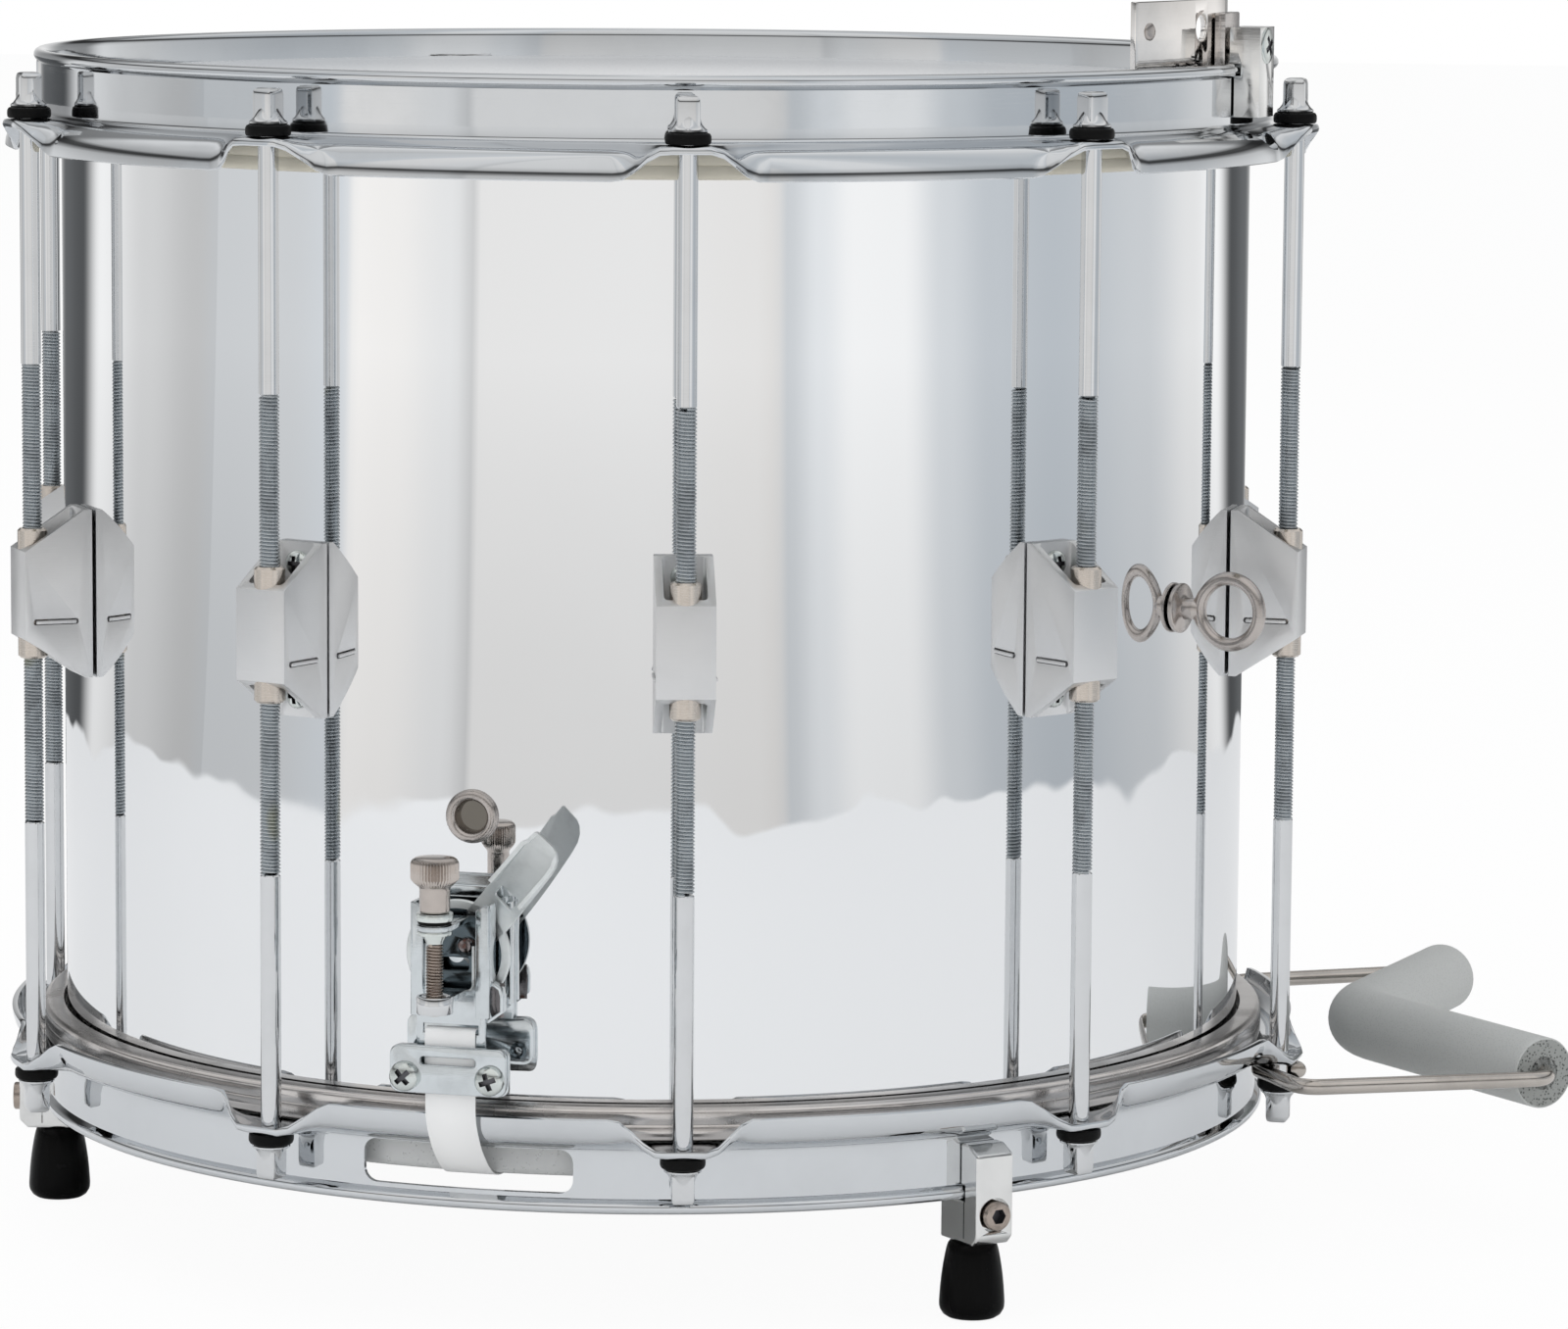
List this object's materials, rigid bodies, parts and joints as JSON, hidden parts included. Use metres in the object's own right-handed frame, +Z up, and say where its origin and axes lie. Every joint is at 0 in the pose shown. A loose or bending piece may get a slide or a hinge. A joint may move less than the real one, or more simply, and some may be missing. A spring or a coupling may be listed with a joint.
{
  "type": "marching snare drum",
  "caption": "Marching snare drum: mirror-chromed steel shell, two tensioned heads under flanged hoops, lugs and rods, snare throw-off, sling plate, knee rest and rubber feet.",
  "frame": {"origin": "centre of the batter head's playing surface", "axes": "+Z up along the drum axis, -Y toward the throw-off side that faces the viewer, +X toward the knee rest"},
  "size_m": [0.4671, 0.4071, 0.3678],
  "materials": {
    "chrome_shell": "mirror chrome plate on steel",
    "chrome_hoop": "mirror chrome plate on pressed steel",
    "chrome_rod": "chrome plate, thread and key head",
    "satin_lug": "satin, lightly tarnished",
    "cream_hoop": "cream paint",
    "satin_hoop": "satin, worn and warm in tone",
    "head_film": "coated film",
    "zinc": "zinc-plated pressed steel",
    "nickel": "satin nickel plate, dulled",
    "stainless": "polished stainless sheet",
    "cast_clamp": "polished die casting",
    "rubber": "moulded black rubber",
    "strap": "white plastic strip",
    "strands": "coiled steel wire",
    "foam": "grey closed-cell foam tube",
    "knee_wire": "satin stainless wire"
  },
  "bodies": {
    "root": {"shell": "chrome_shell", "batter_head": "head_film", "snare_head": "head_film", "batter_flesh_hoop": "cream_hoop", "snare_flesh_hoop": "satin_hoop", "top_hoop": "chrome_hoop", "bottom_hoop": "chrome_hoop", "lug_01": "satin_lug", "top_rod_01": "chrome_rod", "bottom_rod_01": "chrome_rod", "lug_02": "satin_lug", "top_rod_02": "chrome_rod", "bottom_rod_02": "chrome_rod", "lug_03": "satin_lug", "top_rod_03": "chrome_rod", "bottom_rod_03": "chrome_rod", "lug_04": "satin_lug", "top_rod_04": "chrome_rod", "bottom_rod_04": "chrome_rod", "lug_05": "satin_lug", "top_rod_05": "chrome_rod", "bottom_rod_05": "chrome_rod", "lug_06": "satin_lug", "top_rod_06": "chrome_rod", "bottom_rod_06": "chrome_rod", "lug_07": "satin_lug", "top_rod_07": "chrome_rod", "bottom_rod_07": "chrome_rod", "lug_08": "satin_lug", "top_rod_08": "chrome_rod", "bottom_rod_08": "chrome_rod", "lug_09": "satin_lug", "top_rod_09": "chrome_rod", "bottom_rod_09": "chrome_rod", "lug_10": "satin_lug", "top_rod_10": "chrome_rod", "bottom_rod_10": "chrome_rod", "vent_eyelet": "nickel", "eye_ring": "nickel", "throw_off_base": "zinc", "butt_plate": "zinc", "snare_strap_front": "strap", "snare_strap_rear": "strap", "snare_strands": "strands", "leg_clamp_1": "cast_clamp", "leg_clamp_2": "cast_clamp", "leg_clamp_3": "cast_clamp", "carrying_clamp_outer": "cast_clamp", "carrying_clamp_inner": "cast_clamp", "foot_1": "rubber", "foot_2": "rubber", "foot_3": "rubber", "carrying_plate": "stainless", "knee_rest_wire": "knee_wire", "knee_rest_foam": "foam"},
    "lever": {"throw_off_lever": "zinc"},
    "slide": {"throw_off_slide": "zinc"},
    "knob": {"throw_off_knob": "nickel"},
    "carriage": {"strap_carriage": "zinc", "strap_clamp_front": "zinc"}
  },
  "joints": [
    {"name": "throw_off_swing", "type": "hinge", "parent": "root", "child": "lever", "pos_m": [-0.05392, -0.1825, -0.233], "axis": [0.2833, 0.959, 0], "range_deg": [0, 80]},
    {"name": "slide_drop", "type": "slide", "parent": "root", "child": "slide", "axis": [0, 0, -1], "range_m": [0, 0.006], "deforming": ["snare_strap_front"]},
    {"name": "knob_turn", "type": "hinge", "parent": "slide", "child": "knob", "pos_m": [-0.0595, -0.20139, -0.207], "axis": [0, 0, -1], "range_deg": [-1800, 1800]},
    {"name": "carriage_travel", "type": "slide", "parent": "slide", "child": "carriage", "axis": [0, 0, 1], "range_m": [-0.004, 0.004]}
  ],
  "couplings": [
    {"joint": "throw_off_swing", "follows": "slide_drop", "rad_per_m": 232.71},
    {"joint": "knob_turn", "follows": "carriage_travel", "rad_per_m": 7853.9}
  ]
}
